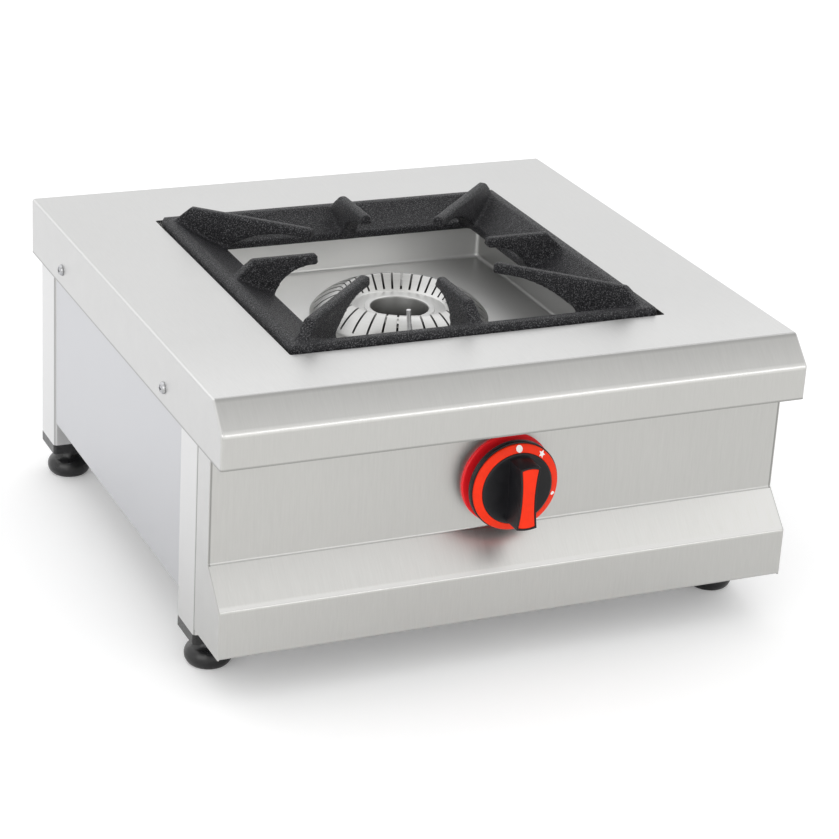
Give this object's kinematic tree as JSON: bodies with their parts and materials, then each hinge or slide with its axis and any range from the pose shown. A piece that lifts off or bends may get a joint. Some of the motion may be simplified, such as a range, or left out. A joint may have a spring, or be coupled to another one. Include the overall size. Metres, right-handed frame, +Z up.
{
  "type": "single burner gas stove",
  "caption": "Square stainless table stove with a cast pan grate over a slotted ring burner, a spill basin, one push and turn knob and levelling feet",
  "frame": {"origin": "on the floor, under the middle of the worktop and of the overall box", "axes": "+Z up, -Y the control panel side, +Y the gas inlet side, +X the user's right"},
  "size_m": [0.4054, 0.42, 0.215],
  "materials": {
    "stainless": "brushed stainless sheet",
    "basin_steel": "bright stainless sheet",
    "grate_iron": "black enamelled casting",
    "crown_aluminium": "satin turned aluminium",
    "bowl_iron": "raw casting",
    "zinc_steel": "zinc plated steel",
    "bright_steel": "bright steel",
    "tap_brass": "machined brass",
    "lead_copper": "drawn copper",
    "black_plastic": "black moulding",
    "foot_plastic": "black glossy moulding",
    "bezel_red": "red plate",
    "knob_orange": "orange red moulding"
  },
  "bodies": {
    "casing": {"top_plate": "stainless", "front_panel": "stainless", "left_side_panel": "stainless", "right_side_panel": "stainless", "rear_panel": "stainless", "spill_basin": "basin_steel", "burner_bowl": "bowl_iron", "mixing_tube": "zinc_steel", "burner_strap": "zinc_steel", "burner_bolts": "zinc_steel", "tap_body": "tap_brass", "tap_nut": "tap_brass", "safety_magnet": "tap_brass", "injector_elbow": "tap_brass", "injector": "tap_brass", "knob_bezel": "bezel_red", "supply_pipe": "zinc_steel", "pipe_nut_tap": "tap_brass", "pipe_nut_inlet": "tap_brass", "gas_inlet": "zinc_steel", "inlet_nut": "zinc_steel", "thermocouple": "bright_steel", "probe_nuts": "zinc_steel", "thermocouple_lead": "lead_copper", "lead_nut": "tap_brass", "apron_screws": "bright_steel", "apron_nuts": "zinc_steel", "front_left_post": "stainless", "front_left_plug": "foot_plastic", "front_right_post": "stainless", "front_right_plug": "foot_plastic", "rear_left_post": "stainless", "rear_left_plug": "foot_plastic", "rear_right_post": "stainless", "rear_right_plug": "foot_plastic"},
    "grate": {"pan_grate": "grate_iron"},
    "crown": {"burner_crown": "crown_aluminium"},
    "plug": {"tap_plug": "tap_brass"},
    "knob": {"tap_spindle": "bright_steel", "control_knob": "black_plastic", "knob_ring": "knob_orange", "knob_insert": "knob_orange"},
    "front_left_riser": {"front_left_stud": "zinc_steel"},
    "front_left_foot": {"front_left_pad": "foot_plastic"},
    "front_right_riser": {"front_right_stud": "zinc_steel"},
    "front_right_foot": {"front_right_pad": "foot_plastic"},
    "rear_left_riser": {"rear_left_stud": "zinc_steel"},
    "rear_left_foot": {"rear_left_pad": "foot_plastic"},
    "rear_right_riser": {"rear_right_stud": "zinc_steel"},
    "rear_right_foot": {"rear_right_pad": "foot_plastic"}
  },
  "joints": [
    {"name": "grate_lift", "type": "slide", "parent": "casing", "child": "grate", "axis": [0, 0, 1], "range_m": [0, 0.08]},
    {"name": "crown_lift", "type": "slide", "parent": "casing", "child": "crown", "axis": [0, 0, 1], "range_m": [0, 0.07]},
    {"name": "knob_turn", "type": "hinge", "parent": "casing", "child": "plug", "pos_m": [0, -0.176, 0.12], "axis": [0, -1, 0], "range_deg": [0, 200]},
    {"name": "knob_push", "type": "slide", "parent": "plug", "child": "knob", "axis": [0, 1, 0], "range_m": [0, 0.004], "stiffness_N_per_m": 1500},
    {"name": "front_left_rise", "type": "slide", "parent": "casing", "child": "front_left_riser", "axis": [0, 0, -1], "range_m": [0, 0.01]},
    {"name": "front_left_turn", "type": "hinge", "parent": "front_left_riser", "child": "front_left_foot", "pos_m": [-0.1818, -0.1375, 0], "axis": [0, 0, -1], "range_deg": [0, 2880]},
    {"name": "front_right_rise", "type": "slide", "parent": "casing", "child": "front_right_riser", "axis": [0, 0, -1], "range_m": [0, 0.01]},
    {"name": "front_right_turn", "type": "hinge", "parent": "front_right_riser", "child": "front_right_foot", "pos_m": [0.1818, -0.1375, 0], "axis": [0, 0, -1], "range_deg": [0, 2880]},
    {"name": "rear_left_rise", "type": "slide", "parent": "casing", "child": "rear_left_riser", "axis": [0, 0, -1], "range_m": [0, 0.01]},
    {"name": "rear_left_turn", "type": "hinge", "parent": "rear_left_riser", "child": "rear_left_foot", "pos_m": [-0.1818, 0.1675, 0], "axis": [0, 0, -1], "range_deg": [0, 2880]},
    {"name": "rear_right_rise", "type": "slide", "parent": "casing", "child": "rear_right_riser", "axis": [0, 0, -1], "range_m": [0, 0.01]},
    {"name": "rear_right_turn", "type": "hinge", "parent": "rear_right_riser", "child": "rear_right_foot", "pos_m": [0.1818, 0.1675, 0], "axis": [0, 0, -1], "range_deg": [0, 2880]}
  ],
  "couplings": [
    {"joint": "front_left_turn", "follows": "front_left_rise", "rad_per_m": 5026.5},
    {"joint": "front_right_turn", "follows": "front_right_rise", "rad_per_m": 5026.5},
    {"joint": "rear_left_turn", "follows": "rear_left_rise", "rad_per_m": 5026.5},
    {"joint": "rear_right_turn", "follows": "rear_right_rise", "rad_per_m": 5026.5}
  ]
}
